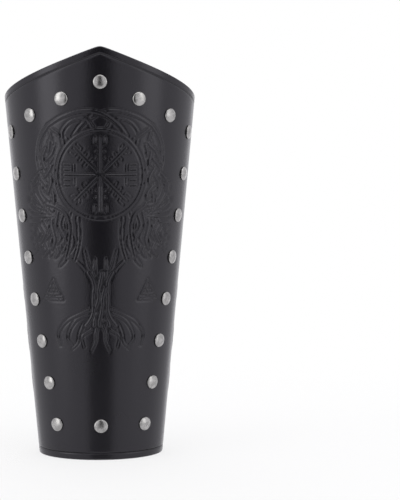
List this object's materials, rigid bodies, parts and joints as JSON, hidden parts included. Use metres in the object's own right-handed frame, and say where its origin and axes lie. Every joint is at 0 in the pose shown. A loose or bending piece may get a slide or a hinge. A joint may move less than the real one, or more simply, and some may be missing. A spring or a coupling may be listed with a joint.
{
  "type": "leather bracer",
  "caption": "Tapered forearm guard of stiff leather with a peaked elbow end, riveted edges and a back opening laced up with one round lace.",
  "frame": {"origin": "under the middle of the guard, in the plane of the wrist rim that it stands on", "axes": "+Z along the arm from the wrist to the elbow end, -Y out of the embossed front, +Y out of the laced back opening, +X to the right seen from the front"},
  "size_m": [0.1148, 0.1092, 0.243],
  "materials": {
    "leather": "black bridle leather, semi-gloss, embossed",
    "rivets": "polished nickel plate",
    "eyelets": "polished gunmetal plate",
    "lace": "black waxed round braid"
  },
  "bodies": {
    "root": {"leather_body": "leather", "rivet_peak": "rivets", "rivet_v1_left": "rivets", "rivet_v1_right": "rivets", "rivet_v2_left": "rivets", "rivet_v2_right": "rivets", "rivet_v3_left": "rivets", "rivet_v3_right": "rivets", "rivet_side1_left": "rivets", "rivet_side1_right": "rivets", "rivet_side2_left": "rivets", "rivet_side2_right": "rivets", "rivet_side3_left": "rivets", "rivet_side3_right": "rivets", "rivet_side4_left": "rivets", "rivet_side4_right": "rivets", "rivet_side5_left": "rivets", "rivet_side5_right": "rivets", "rivet_side6_left": "rivets", "rivet_side6_right": "rivets", "rivet_side7_left": "rivets", "rivet_side7_right": "rivets", "rivet_wrist": "rivets", "eyelet_1_left": "eyelets", "eyelet_1_right": "eyelets", "eyelet_2_left": "eyelets", "eyelet_2_right": "eyelets", "eyelet_3_left": "eyelets", "eyelet_3_right": "eyelets", "eyelet_4_left": "eyelets", "eyelet_4_right": "eyelets", "eyelet_5_left": "eyelets", "eyelet_5_right": "eyelets", "eyelet_6_left": "eyelets", "eyelet_6_right": "eyelets", "eyelet_7_left": "eyelets", "eyelet_7_right": "eyelets", "lace": "lace", "bow_lead_left": "lace", "bow_lead_right": "lace", "bow_loop_left": "lace", "bow_loop_right": "lace", "lace_end_left": "lace", "lace_end_right": "lace", "bow_knot": "lace"}
  },
  "joints": []
}
